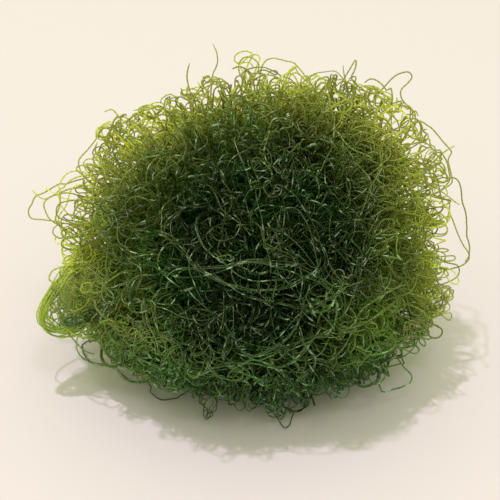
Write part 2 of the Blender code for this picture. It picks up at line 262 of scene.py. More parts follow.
def scatter(dice, count, depths, rimShare=1.0):
    found = []
    while sum(len(part) for part in found) < count:
        height = dice.uniform(-1, 1, count)
        turn = dice.uniform(0, math.tau, count)
        side = np.sqrt(1 - height**2)
        out = np.stack([side * np.cos(turn), side * np.sin(turn), height], -1)
        far = reachAt(out) - dice.uniform(depths[0], depths[1], count)
        # Even in volume, where the share that is kept follows the reach squared, but sparser round the edge
        keep = dice.random(count) < (far / far.max()) ** 2 * (1 - (1 - rimShare) * rimOf(middle + out))
        found.append(np.concatenate([out, far[:, None]], 1)[keep])
    found = np.concatenate(found)[:count]
    return found[:, :3], found[:, 3]


def anyWays(dice, out):
    across = np.cross(out, dice.normal(0, 1, out.shape))
    return unit(unit(across) + slant * dice.normal(0, 1, out.shape))


# Tubes along the paths, with their rings closer together where a filament bends

evenness = 120.0  # of the rings: the bend, in radians a metre, that a straight stretch counts for
tipShare = 0.6  # of a filament's thickness at its two ends
thinning = {"rim": 1.06, "less": 0.24, "from": 0.50, "over": 0.35}  # filaments are finer amid the dark face
crossWay = (0.31, 0.52, 0.79)  # a direction that no filament starts along
strip = {"rows": 4, "side": 0.1, "end": 0.02}  # on the map: rows of strips, and what is left free round each


def ringSpots(path, rings):
    step = np.diff(path, axis=0)
    run = np.linalg.norm(step, axis=1)
    way = unit(step)
    bend = np.arccos(np.clip((way[1:] * way[:-1]).sum(1), -1, 1))
    cost = run * evenness + (np.append(bend, 0) + np.append(0, bend)) / 2
    total = np.append(0, np.cumsum(cost))
    at = np.linspace(0, total[-1], rings)
    return np.stack([np.interp(at, total, path[:, axis]) for axis in range(3)], -1)


def tubes(name, paths, rings, radii, sides, tints):
    count = len(paths)
    paths = np.stack([ringSpots(path, rings) for path in paths])
    ahead = np.empty_like(paths)
    ahead[:, 1:-1] = paths[:, 2:] - paths[:, :-2]
    ahead[:, 0] = paths[:, 1] - paths[:, 0]
    ahead[:, -1] = paths[:, -1] - paths[:, -2]
    ahead = unit(ahead)
    side = unit(np.cross(ahead[:, 0], crossWay))
    angle = np.arange(sides) * math.tau / sides
    points = np.empty((count, rings, sides, 3))
    onFace = np.clip((faceOf(paths) - thinning["from"]) / thinning["over"], 0, 1)
    swell = thinning["rim"] - thinning["less"] * onFace
    for ring in range(rings):
        way = ahead[:, ring]
        side = unit(side - way * (side * way).sum(1, keepdims=True))
        other = np.cross(way, side)
        lap = np.cos(angle)[None, :, None] * side[:, None] + np.sin(angle)[None, :, None] * other[:, None]
        narrow = tipShare if ring in (0, rings - 1) else 1.0
        thick = radii * swell[:, ring] * narrow
        points[:, ring] = paths[:, ring, None] + lap * thick[:, None, None]
    first = np.arange(count)[:, None, None] * rings * sides + np.arange(rings - 1)[None, :, None] * sides
    here, after = np.arange(sides), (np.arange(sides) + 1) % sides
    quads = np.stack([first + here, first + after, first + sides + after, first + sides + here], -1)
    start = np.arange(count)[:, None] * rings * sides
    startCaps = start + here[::-1]
    endCaps = start + (rings - 1) * sides + here
    corners = np.concatenate([quads.ravel(), startCaps.ravel(), endCaps.ravel()])
    totals = np.concatenate([np.full(quads.size // 4, 4), np.full(2 * count, sides)])
    mesh = bpy.data.meshes.new(name)
    mesh.vertices.add(count * rings * sides)
    mesh.vertices.foreach_set("co", points.astype(np.float32).ravel())
    mesh.loops.add(len(corners))
    mesh.loops.foreach_set("vertex_index", corners.astype(np.int32))
    mesh.polygons.add(len(totals))
    mesh.polygons.foreach_set("loop_start", np.concatenate([[0], np.cumsum(totals)[:-1]]).astype(np.int32))
    mesh.update(calc_edges=True)
    mesh.shade_smooth()

    # Each filament has its own strip of the map
    rows, side, end = strip["rows"], strip["side"], strip["end"]
    columns = math.ceil(count / rows)
    index = np.arange(count)
    column, row = index % columns, index // columns
    lap = np.stack([here, here + 1, here + 1, here], -1) / sides
    rise = np.arange(rings)[:, None] / (rings - 1)
    rise = np.stack([rise[:-1], rise[:-1], rise[1:], rise[1:]], -1)
    u = (column[:, None, None, None] + side + (1 - 2 * side) * lap) / columns
    v = (row[:, None, None, None] + end + (1 - 2 * end) * rise) / rows
    u, v = np.broadcast_arrays(u, v)
    strips = np.stack([u.ravel(), v.ravel()], -1)
    capU = np.repeat((column + 0.5) / columns, sides)
    capV = np.concatenate([np.repeat((row + up) / rows, sides) for up in (end, 1 - end)])
    caps = np.stack([np.tile(capU, 2), capV], -1)
    layer = mesh.uv_layers.new(name="OFBake")
    layer.data.foreach_set("uv", np.concatenate([strips, caps]).astype(np.float32).ravel())

    run = np.linalg.norm(np.diff(paths, axis=1), axis=-1).cumsum(1) * 1000
    run = np.concatenate([np.zeros((count, 1)), run], 1)
    notes = {
        "depth": depthOf(paths) * 1000,
        # face: the map of the mat's faces, which paints rim light and the shade of the faces into the colours
        "face": faceOf(paths),
        "along": run,
        "tint": np.repeat(tints[:, None], rings, 1),
    }
    for label, values in notes.items():
        note = mesh.attributes.new(label, "FLOAT", "POINT")
        note.data.foreach_set("value", np.repeat(values.ravel(), sides).astype(np.float32))
    piece = bpy.data.objects.new(name, mesh)
    bpy.context.scene.collection.objects.link(piece)
    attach(piece, "root")
    print(name, count, "filaments", count * (rings - 1) * sides * 2, "triangles")
    return piece


# Materials: pale, translucent yellow-green where a filament is near the rim, painted as light coming through
# the thin rim, and dark blue-green within, painted as shade and partly the darker inner growth. Four values
# in a row
# are a range: from where to where it runs, and what it gives at either end

tone = {
    # Painted rim light and shade: filaments are pale where the mat is seen edge-on and dark on its faces
    "face": (0.24, 0.90, 0.0, 0.92),
    # Darker further in from the outline: partly the older, darker inner growth, partly painted shade
    "inward": (2.0, 14.0, 0.0, 0.40),  # all depths are in mm, in from the mat's outline
    "patchScale": 45.0,
    "patches": 0.40,
    "tints": 0.20,
    "palePower": 1.6,
    "shadeScale": 62.0,
    "shades": (0.36, 0.64, -0.28, 0.22),  # how much darker and lighter the patches of the face are
    "shadeFade": (0.2, 0.8, 0.2, 1.0),  # a fade runs over the darkness that face, depth and patches give
    "brownScale": 34.0,
    "browns": (0.58, 0.70, 0.0, 1.0),
    "brownFade": (0.4, 0.9, 0.0, 1.0),
    "brown": (0.97, 0.88, 0.88),
    "apart": 977.0,  # sets the cells and painted glints of one filament off against the next one's
    "cellLength": 1.15,  # mm
    "cellEnd": (0.34, 0.5, 0.0, 1.0),  # from the middle of a cell, in cell lengths
    "cells": 0.30,
    "ownLeast": 0.66,  # how bright the dullest filament is, and what the liveliest has more
    "ownMore": 0.75,
    # Painted highlights: pale wet dashes painted along a filament as glints
    "paintedGlintPace": 0.34,  # per mm: how quickly wet dashes come and go along a filament
    "paintedGlints": (0.575, 0.68, 0.0, 0.80),
    "paintedGlintFade": (0.25, 0.75, 0.0, 1.0),
    "paintedGlintDepth": (2.0, 5.0, 1.0, 0.25),
    "paintedGlint": {"Skin": (0.64, 0.84, 0.60), "Light": (0.34, 0.48, 0.28)},
    # Painted shade and fill by depth: filaments just under the outer ones dimmed as shade, deeper ones
    # brightened again as painted fill light
    "paintedDepthShading": (2.2, 5.0, 0.0, 0.12),  # how much filaments in the mat turn dim
    "paintedFillLight": (4.5, 9.0, 0.0, 1.6),  # and how much those under them brighten again
    "paintedDepthShadingFade": (0.5, 0.95, 0.0, 1.0),
    # Painted shade: near the floor the colours turn darker and bluer
    "lowHeight": (0.012, 0.058, 1.0, 0.0),  # metres above the floor
    "lowFade": (0.1, 0.8, 0.2, 1.0),
    "low": (0.73, 1.10, 1.0),  # what colours are multiplied by near the floor, and the deep ones once more
    "lowDeep": (0.84, 1.04, 1.0),
    "glossScale": 420.0,
    "gloss": (0.35, 0.65, 0.16, 0.30),
    "dull": (3.5, 8.0, 0.0, 0.35),
}


def addNode(tree, kind, **values):
    node = tree.nodes.new("ShaderNode" + kind)
    for key, value in values.items():
        setattr(node, key, value)
    return node


def maths(tree, operation, first, second):
    node = addNode(tree, "Math", operation=operation)
    for socket, value in zip(node.inputs, (first, second)):
        if isinstance(value, (int, float)):
            socket.default_value = value
        else:
            tree.links.new(value, socket)
    return node.outputs[0]


def plus(tree, first, second):
    return maths(tree, "ADD", first, second)


def minus(tree, first, second):
    return maths(tree, "SUBTRACT", first, second)


def times(tree, first, second):
    return maths(tree, "MULTIPLY", first, second)


def mixed(tree, share, first, second, blend="MIX"):
    node = addNode(tree, "Mix", data_type="RGBA", blend_type=blend)
    for label, value in (("Factor", share), ("A", first), ("B", second)):
        socket = [entry for entry in node.inputs if entry.name == label and entry.enabled][0]
        if isinstance(value, (int, float)):
            socket.default_value = value
        elif isinstance(value, tuple):
            socket.default_value = (*value, 1)
        else:
            tree.links.new(value, socket)
    return [entry for entry in node.outputs if entry.enabled][0]


def filtered(tree, share, colour, through):
    return mixed(tree, share, colour, mixed(tree, 1.0, colour, through, "MULTIPLY"))


def noted(tree, label):
    return addNode(tree, "Attribute", attribute_name=label).outputs["Fac"]


def noise(tree, scale, detail=2.0):
    place = addNode(tree, "TexCoord")
    node = addNode(tree, "TexNoise")
    node.inputs["Scale"].default_value = scale
    node.inputs["Detail"].default_value = detail
    tree.links.new(place.outputs["Object"], node.inputs["Vector"])
    return node.outputs["Fac"]


def ranged(tree, value, fromLow, fromHigh, low, high, kind="SMOOTHSTEP"):
    node = addNode(tree, "MapRange", interpolation_type=kind)
    for label, number in (("From Min", fromLow), ("From Max", fromHigh), ("To Min", low), ("To Max", high)):
        node.inputs[label].default_value = number
    tree.links.new(value, node.inputs["Value"])
    return node.outputs["Result"]


def toneGroup(plan):
    tree = bpy.data.node_groups.new("algaeTone", "ShaderNodeTree")
    for label in ("Pale Skin", "Deep Skin", "Pale Light", "Deep Light"):
        tree.interface.new_socket(label, in_out="INPUT", socket_type="NodeSocketColor")
    tree.interface.new_socket("Shift", in_out="INPUT", socket_type="NodeSocketFloat")
    for label in ("Skin", "Light"):
        tree.interface.new_socket(label, in_out="OUTPUT", socket_type="NodeSocketColor")
    for label in ("Roughness", "Height"):
        tree.interface.new_socket(label, in_out="OUTPUT", socket_type="NodeSocketFloat")
    given = tree.nodes.new("NodeGroupInput")
    made = tree.nodes.new("NodeGroupOutput")
    tint, depth, along = noted(tree, "tint"), noted(tree, "depth"), noted(tree, "along")

    patch = times(tree, minus(tree, noise(tree, plan["patchScale"]), 0.5), 2 * plan["patches"])
    own = times(tree, minus(tree, tint, 0.5), plan["tints"])
    # Painted rim light and shade from the face map: pale at the thin rim, dark on the faces
    face = ranged(tree, noted(tree, "face"), *plan["face"], "LINEAR")
    inward = ranged(tree, depth, *plan["inward"], "LINEAR")
    total = plus(tree, plus(tree, face, inward), plus(tree, patch, own))
    total = plus(tree, total, given.outputs["Shift"])
    total = ranged(tree, total, 0.0, 1.0, 1.0, 0.0, "LINEAR")
    fade = minus(tree, 1.0, maths(tree, "POWER", total, plan["palePower"]))
    apart = times(tree, tint, plan["apart"])

    # Painted highlights: pale dashes along a filament, where it is dark and near the surface, painted as
    # glints on its wet skin
    wave = addNode(tree, "TexNoise", noise_dimensions="1D")
    wave.inputs["Scale"].default_value = 1.0
    wave.inputs["Detail"].default_value = 1.0
    run = plus(tree, times(tree, along, plan["paintedGlintPace"]), apart)
    tree.links.new(run, wave.inputs["W"])
    paintedGlint = ranged(tree, wave.outputs["Fac"], *plan["paintedGlints"])
    paintedGlint = times(tree, paintedGlint, ranged(tree, fade, *plan["paintedGlintFade"]))
    paintedGlint = times(tree, paintedGlint, ranged(tree, depth, *plan["paintedGlintDepth"]))

    # Its cells, with a dim end to each, and its own brightness
    cell = plus(tree, maths(tree, "DIVIDE", along, plan["cellLength"]), apart)
    joint = minus(tree, maths(tree, "FRACT", cell, 0.0), 0.5)
    joint = ranged(tree, maths(tree, "ABSOLUTE", joint, 0.0), *plan["cellEnd"])
    dim = minus(tree, 1.0, times(tree, joint, plan["cells"]))
    lively = times(tree, maths(tree, "POWER", tint, 2.0), plan["ownMore"])
    own = times(tree, dim, plus(tree, plan["ownLeast"], lively))

    # Painted shade and fill by depth in the mat: dim just under the outer filaments, brighter again deeper
    # in. Then patches of shade, patches of brown and the darker, bluer foot, painted as shade near the floor
    paintedDepthShading = minus(tree, ranged(tree, depth, *plan["paintedFillLight"]), ranged(tree, depth, *plan["paintedDepthShading"]))
    paintedDepthShading = times(tree, paintedDepthShading, ranged(tree, fade, *plan["paintedDepthShadingFade"]))
    own = times(tree, own, plus(tree, 1.0, paintedDepthShading))
    shade = ranged(tree, noise(tree, plan["shadeScale"], 1.0), *plan["shades"])
    shade = times(tree, shade, ranged(tree, fade, *plan["shadeFade"]))
    own = times(tree, own, plus(tree, 1.0, shade))
    brown = ranged(tree, noise(tree, plan["brownScale"], 1.0), *plan["browns"])
    brown = times(tree, brown, ranged(tree, fade, *plan["brownFade"]))
    place = addNode(tree, "TexCoord")
    height = addNode(tree, "SeparateXYZ")
    tree.links.new(place.outputs["Object"], height.inputs[0])
    # The foot painted darker and bluer as shade near the floor
    low = ranged(tree, height.outputs["Z"], *plan["lowHeight"])
    lowFace = times(tree, low, ranged(tree, fade, *plan["lowFade"]))

    for label in ("Skin", "Light"):
        deep = filtered(tree, low, given.outputs["Deep " + label], plan["lowDeep"])
        colour = mixed(tree, fade, given.outputs["Pale " + label], deep)
        colour = filtered(tree, lowFace, colour, plan["low"])
        colour = filtered(tree, brown, colour, plan["brown"])
        colour = mixed(tree, paintedGlint, colour, plan["paintedGlint"][label])
        scale = addNode(tree, "VectorMath", operation="SCALE")
        tree.links.new(colour, scale.inputs[0])
        tree.links.new(own, scale.inputs["Scale"])
        tree.links.new(scale.outputs[0], made.inputs[label])
    gloss = ranged(tree, noise(tree, plan["glossScale"], 1.0), *plan["gloss"])
    gloss = plus(tree, gloss, ranged(tree, depth, *plan["dull"]))
    tree.links.new(gloss, made.inputs["Roughness"])
    tree.links.new(minus(tree, 1.0, joint), made.inputs["Height"])
    return tree


algaeTone = toneGroup(tone)

wetSurface = {
    "IOR": 1.80,
    "Specular Tint": (0.86, 1.0, 0.66, 1),
}
cellBump = {
    "Strength": 0.5,
    "Distance": 0.00006,  # metres
}

# Skin is what the surface shows, Light what comes through it, and share how much of the latter is seen. The
# Pale colours are the painted rim light, and the Deep ones the painted shade within and the darker inner
# growth
finishes = {
    "wetAlgae": {
        "Pale Skin": (0.72, 0.79, 0.150), "Deep Skin": (0.020, 0.068, 0.012),
        "Pale Light": (1.0, 0.95, 0.36), "Deep Light": (0.070, 0.215, 0.034),
        "Shift": 0.0, "share": 0.55,
    },
    # Painted rim light: a copy with lighter deep colours, for filaments round the rim
    "paintedRimLightAlgae": {
        "Pale Skin": (0.72, 0.79, 0.150), "Deep Skin": (0.080, 0.120, 0.036),
        "Pale Light": (0.86, 0.82, 0.31), "Deep Light": (0.26, 0.36, 0.105),
        "Shift": -0.05, "share": 0.55,
    },
    # Painted highlight: a copy with lighter deep colours and less light through, for the front strands,
    # painted as glints
    "paintedGlintAlgae": {
        "Pale Skin": (0.72, 0.79, 0.180), "Deep Skin": (0.095, 0.160, 0.062),
        "Pale Light": (1.0, 0.95, 0.36), "Deep Light": (0.12, 0.26, 0.075),
        "Shift": 0.0, "share": 0.40,
    },
    "skirtAlgae": {
        "Pale Skin": (0.60, 0.60, 0.19), "Deep Skin": (0.105, 0.130, 0.052),
        "Pale Light": (0.80, 0.74, 0.28), "Deep Light": (0.29, 0.34, 0.125),
        "Shift": -0.16, "share": 0.55,
    },
    "flapAlgae": {
        "Pale Skin": (0.50, 0.56, 0.16), "Deep Skin": (0.08, 0.12, 0.036),
        "Pale Light": (0.70, 0.70, 0.23), "Deep Light": (0.26, 0.36, 0.105),
        "Shift": -0.05, "share": 0.55,
    },
    "shadedAlgae": {
        "Pale Skin": (0.30, 0.36, 0.110), "Deep Skin": (0.055, 0.080, 0.030),
        "Pale Light": (0.44, 0.50, 0.17), "Deep Light": (0.15, 0.20, 0.070),
        "Shift": 0.20, "share": 0.55,
    },
}


def algaeMaterial(name, plan):
    material = bpy.data.materials.new(name)
    material.use_nodes = True
    tree = material.node_tree
    shader = tree.nodes["Principled BSDF"]
    group = addNode(tree, "Group", node_tree=algaeTone)
    for label in ("Pale Skin", "Deep Skin", "Pale Light", "Deep Light"):
        group.inputs[label].default_value = (*plan[label], 1)
    group.inputs["Shift"].default_value = plan["Shift"]
    tree.links.new(group.outputs["Skin"], shader.inputs["Base Color"])
    tree.links.new(group.outputs["Roughness"], shader.inputs["Roughness"])
    bump = addNode(tree, "Bump")
    for node, values in ((shader, wetSurface), (bump, cellBump)):
        for label, value in values.items():
            node.inputs[label].default_value = value
    tree.links.new(group.outputs["Height"], bump.inputs["Height"])
    tree.links.new(bump.outputs[0], shader.inputs["Normal"])
    through = addNode(tree, "BsdfTranslucent")
    tree.links.new(group.outputs["Light"], through.inputs["Color"])
    mix = addNode(tree, "MixShader")
    mix.inputs[0].default_value = plan["share"]
    tree.links.new(shader.outputs[0], mix.inputs[1])
    tree.links.new(through.outputs[0], mix.inputs[2])
    tree.links.new(mix.outputs[0], tree.nodes["Material Output"].inputs["Surface"])
    return material


materials = {name: algaeMaterial(name, plan) for name, plan in finishes.items()}
print("materials made")

# The mat: deep, inner and outer filaments. The curl is in radians a metre, changes over curlLength and varies
# from one filament to the next. The pull steers to the depth that is wanted, the more so past the slack

mat = {
    "deep_filaments": {
        "metres": 46, "length": 0.090, "depths": (0.0090, 0.0240), "sway": 0.0020, "dives": 15,
        "sides": 3, "rings": 38, "radius": 0.00040, "seeds": (1,),
        "curl": 110.0, "curlLength": 0.012, "variety": 0.3,
        "pull": 140.0, "slack": 0.006, "kinkEvery": 0.030, "kink": 0.5, "lay": 0.0, "rimSink": 0.0040,
        "rimShare": 0.7,
    },
    "inner_filaments": {
        "metres": 76, "length": 0.080, "depths": (0.0055, 0.0115), "sway": 0.0018, "dives": 40,
        "sides": 3, "rings": 50, "radius": 0.00022, "seeds": (10, 11),
        "curl": 150.0, "curlLength": 0.009, "variety": 0.4,
        "pull": 240.0, "slack": 0.003, "kinkEvery": 0.030, "kink": 0.6, "lay": 20.0, "rimSink": 0.0042,
        "rimShare": 0.8,
    },
    "outer_filaments": {
        "metres": 50, "length": 0.075, "depths": (0.0000, 0.0056), "sway": 0.0022, "dives": 55,
        "sides": 4, "rings": 60, "radius": 0.00019, "seeds": (20, 21),
        "curl": 190.0, "curlLength": 0.007, "variety": 0.5,
        "pull": 330.0, "slack": 0.0020, "kinkEvery": 0.025, "kink": 0.7, "lay": 30.0, "rimSink": 0.0,
        "rimShare": 0.7,
    },
}

fineStride = 0.0006
thickness = (0.85, 1.15)  # the thinnest and the thickest filament, as shares of the usual one
divePace = (0.7, 1.3)  # and how often one dives, in the same way


def addTangle(name, plan, seed):
    dice = np.random.default_rng(seed)
    steps = round(plan["length"] / fineStride)
    count = round(plan["metres"] / plan["length"] / len(plan["seeds"]))
    out, far = scatter(dice, count, plan["depths"], plan["rimShare"])
    want = reachAt(out) - far
    dives = plan["dives"] * plan["length"] * math.tau * dice.uniform(*divePace, (count, 1))
    turn = dice.uniform(0, math.tau, (count, 1)) + np.linspace(0, 1, steps + 1)[None, :] * dives
    wanted = want[:, None] + plan["sway"] * np.sin(turn)
    starts = middle + out * far[:, None]
    starts[:, 2] = np.maximum(starts[:, 2], floorGap)
    paths = growPaths(dice, starts, anyWays(dice, out), wanted, dict(plan, stride=fineStride))
    radii = plan["radius"] * dice.uniform(*thickness, count)
    piece = tubes(name, paths, plan["rings"], radii, plan["sides"], dice.random(count))
    piece.data.materials.append(materials["wetAlgae"])
    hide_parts("tangle")


for name, plan in mat.items():
    for index, seed in enumerate(plan["seeds"]):
        label = name if len(plan["seeds"]) == 1 else f"{name}_{index + 1}"
        addTangle(label, plan, seed)

# Loose loops at the rim, in the copy of the material painted pale as rim light

fringe = {
    "metres": 12, "length": 0.030, "rise": (-0.0010, 0.0042), "root": (0.003, 0.008),
    "flatness": 0.7,  # of a loop's crest: the lower, the flatter
    "outward": 0.5, "sides": 4, "rings": 30, "radius": 0.00018,
    "curl": 230.0, "curlLength": 0.007, "variety": 0.4, "pull": 330.0, "slack": 0.0022,
    "kinkEvery": 0.040, "kink": 0.7, "lay": 0.0, "rimSink": 0.0,
}


def addFringe(name, plan, seed):
    dice = np.random.default_rng(seed)
    steps = round(plan["length"] / fineStride)
    count = round(plan["metres"] / plan["length"])
    out, far = scatter(dice, count, plan["root"])
    root = reachAt(out) - far
    rise = dice.uniform(*plan["rise"], count)
    share = np.linspace(0, 1, steps + 1)
    wanted = root[:, None] - (root + rise)[:, None] * np.sin(math.pi * share) ** plan["flatness"]
    starts = middle + out * far[:, None]
    starts[:, 2] = np.maximum(starts[:, 2], floorGap)
    ways = unit(anyWays(dice, out) + plan["outward"] * out)
    paths = growPaths(dice, starts, ways, wanted, dict(plan, stride=fineStride))
    radii = plan["radius"] * dice.uniform(*thickness, count)
    piece = tubes(name, paths, plan["rings"], radii, plan["sides"], dice.random(count))
    piece.data.materials.append(materials["paintedRimLightAlgae"])
    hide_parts("tangle")


addFringe("rim_loops", fringe, seeds["fringe"])

# The loose filaments that the solids hold one by one, here round, with their ends led into the mat

loose = {
    "ring": 0.0007,  # edges shorter than this lie within one ring of a filament
    "crinkle": 0.00030, "crinkleLength": 0.007, "faceFrom": 0.55, "tail": 0.014, "tailDepth": 0.008,
    "radius": 0.00018, "sides": 5, "ringsPerMetre": 900,
    "curl": 120.0, "curlLength": 0.010, "variety": 0.2, "pull": 260.0, "slack": 0.003,
    "kinkEvery": 0.040, "kink": 0.4, "lay": 0.0, "rimSink": 0.0,
}


def centreLine(node, longest):
    bm = mergedCopy(node)
    bm.verts.ensure_lookup_table()
    group = [-1] * len(bm.verts)
    centres = []
    for vert in bm.verts:
        if group[vert.index] >= 0:
            continue
        todo, members = [vert], []
        group[vert.index] = len(centres)
        while todo:
            here = todo.pop()
            members.append(here.co.copy())
            for edge in here.link_edges:
                other = edge.other_vert(here)
                if edge.calc_length() < longest and group[other.index] < 0:
                    group[other.index] = len(centres)
                    todo.append(other)
        centres.append(np.mean([co[:] for co in members], axis=0))
    joined = [set() for _ in centres]
    for edge in bm.edges:
        a, b = (group[vert.index] for vert in edge.verts)
        if a != b:
            joined[a].add(b)
            joined[b].add(a)
    bm.free()
    ends = [index for index, others in enumerate(joined) if len(others) == 1]
    if not ends:
        return None
    order, last = [ends[0]], None
    while True:
        onward = [index for index in joined[order[-1]] if index != last]
        if not onward:
            break
        last = order[-1]
        order.append(onward[0])
    return np.array([centres[index] for index in order])


pathMake = {"between": 12, "ease": 6}  # steps from one place to the next, and over which a crinkle sets in


def smoothPath(places):
    places = np.asarray(places, float)
    padded = np.concatenate([[2 * places[0] - places[1]], places, [2 * places[-1] - places[-2]]])
    share = np.linspace(0, 1, pathMake["between"], endpoint=False)[:, None]
    spots = []
    for a, b, c, d in zip(padded, padded[1:], padded[2:], padded[3:]):
        spots.append(0.5 * (2 * b + (c - a) * share + (2 * a - 5 * b + 4 * c - d) * share**2
                            + (3 * b - a - 3 * c + d) * share**3))
    spots = np.concatenate(spots + [places[-1:]])
    run = np.append(0, np.cumsum(np.linalg.norm(np.diff(spots, axis=0), axis=1)))
    at = np.arange(0, run[-1], fineStride)
    return np.stack([np.interp(at, run, spots[:, axis]) for axis in range(3)], -1)


def crinkled(dice, path, size, length):
    memory = math.exp(-fineStride / length)
    wave = np.zeros_like(path)
    push = np.zeros(3)
    wander = np.zeros(3)
    for index in range(len(path)):
        push = push * memory + dice.normal(0, math.sqrt(1 - memory**2), 3)
        wander = wander * memory + push * (1 - memory)
        wave[index] = wander
    ends = np.clip(np.minimum(np.arange(len(path)), np.arange(len(path))[::-1]) / pathMake["ease"], 0, 1)
    return path + wave * size / max(wave.std(), 1e-9) * ends[:, None]


def tailFrom(dice, spot, way, plan):
    steps = round(plan["tail"] / fineStride)
    now = float(depthOf(spot))
    wanted = np.minimum(now + np.linspace(0, 1, steps + 1) * plan["tail"], plan["tailDepth"])
    wanted = np.maximum(wanted, now)[None]
    return growPaths(dice, spot[None], way[None], wanted, dict(plan, stride=fineStride))[0][1:]


def withTails(dice, path, plan, both=True):
    start = tailFrom(dice, path[0], path[0] - path[2], plan)
    parts = [start[::-1], path]
    if both:
        parts.append(tailFrom(dice, path[-1], path[-1] - path[-3], plan))
    return np.concatenate(parts)


def addLoose(node, seed, plan):
    dice = np.random.default_rng(seed)
    line = centreLine(node, plan["ring"])
    if line is None or len(line) < 4:
        print("no line found in", node)
        return
    path = crinkled(dice, smoothPath(line), plan["crinkle"], plan["crinkleLength"])
    path = withTails(dice, path, plan)
    rings = round(len(path) * fineStride * plan["ringsPerMetre"])
    radii = np.array([plan["radius"]])
    piece = tubes(node + "_strand", [path], rings, radii, plan["sides"], dice.random(1))
    # A filament off the dark face takes the copy painted pale as rim light
    onFace = faceOf(path).mean() > plan["faceFrom"]
    piece.data.materials.append(materials["wetAlgae" if onFace else "paintedRimLightAlgae"])
    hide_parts(node)


for index, node in enumerate(sorted(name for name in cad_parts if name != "tangle")):
    addLoose(node, seeds["loose"] + index, loose)

# Strands that the photograph shows one by one, placed across and down in its view. Sinks are in mm
# under the mat's outline, and apart is how far the copies of a strand stray

endPlaces = [
    [(213, 73), (217, 66), (219, 60), (217, 52), (212, 42)],
    [(190, 92), (188, 82), (188, 72), (190, 61)],
    [(346, 82), (344, 74), (343, 65)],
    [(424, 170), (434, 161), (444, 153), (456, 145)],
    [(436, 188), (445, 194), (453, 201), (460, 205)],
    [(452, 218), (457, 231), (463, 244), (469, 255), (465, 262)],
    [(60, 189), (54, 195), (44, 198), (31, 189)],
    [(72, 200), (58, 196), (48, 190), (41, 186)],
    [(64, 240), (62, 252), (66, 262)],
    [(120, 118), (112, 110), (104, 112)],
    [(406, 330), (424, 322), (440, 326)],
]

rimPlaces = [
    [(243, 80), (239, 71), (240, 62), (246, 57), (254, 59), (260, 66), (257, 74), (250, 79)],
    [(286, 79), (291, 71), (295, 66), (300, 74), (306, 81)],
    [(303, 82), (315, 74), (325, 72), (335, 71), (341, 76), (346, 84)],
    [(342, 82), (348, 72), (356, 59), (356, 68), (352, 77), (357, 86)],
    [(391, 88), (393, 98), (392, 112)],
    [(440, 150), (446, 160), (448, 170), (449, 178), (446, 185), (437, 193), (430, 195)],
    [(430, 268), (444, 267), (454, 271), (460, 279), (458, 284), (450, 281), (447, 276)],
    [(64, 193), (52, 196), (44, 203), (46, 213), (51, 220), (60, 226)],
    [(66, 190), (60, 194), (60, 207), (56, 221), (64, 230)],
    [(70, 192), (66, 204), (58, 216), (60, 228)],
    [(58, 186), (67, 173), (80, 171), (90, 176)],
    [(60, 224), (54, 228), (53, 235), (60, 240), (66, 234), (62, 229)],
    [(66, 266), (58, 268), (52, 272), (50, 280), (58, 284), (66, 282)],
    [(70, 272), (62, 276), (56, 286), (64, 292)],
    [(203, 396), (201, 404), (205, 409), (202, 415), (206, 420), (210, 416)],
    [(212, 396), (213, 404), (208, 410), (212, 416), (207, 419), (203, 413)],
    [(197, 394), (200, 402), (207, 406), (211, 412), (217, 409), (216, 402)],
    [(209, 398), (204, 405), (209, 412), (206, 418)],
    [(236, 396), (234, 404), (238, 411), (244, 407), (242, 399)],
    [(248, 396), (246, 405), (251, 411), (254, 404)],
    [(275, 399), (280, 405), (277, 410), (283, 413), (281, 420), (278, 414)],
    [(290, 398), (289, 406), (284, 410), (286, 416), (281, 418)],
    [(297, 398), (297, 405), (290, 408), (292, 413), (286, 412)],
    [(272, 398), (276, 406), (283, 407), (289, 411)],
    [(328, 388), (336, 396), (346, 398), (350, 388), (344, 380)],
]

flapPlaces = [
    [(70, 262), (54, 288), (45, 302), (40, 314), (42, 325), (52, 331), (64, 333), (76, 331), (90, 322)],
    [(76, 268), (60, 284), (48, 302), (45, 316), (52, 328), (70, 330), (88, 324), (104, 316)],
    [(72, 272), (58, 292), (46, 306), (42, 318), (48, 328), (60, 331)],
]

lowLeftPlaces = [
    [(104, 316), (118, 330), (122, 345), (121, 356), (128, 362), (136, 360)],
    [(118, 352), (126, 344), (137, 342), (146, 334)],
    [(133, 356), (150, 366), (168, 372), (190, 378)],
    [(120, 358), (134, 363), (148, 374), (160, 386), (172, 387), (182, 379)],
    [(147, 316), (150, 329), (158, 343), (160, 356)],
    [(96, 328), (103, 338), (106, 350), (112, 358)],
    [(140, 372), (156, 374), (176, 368), (196, 370)],
]

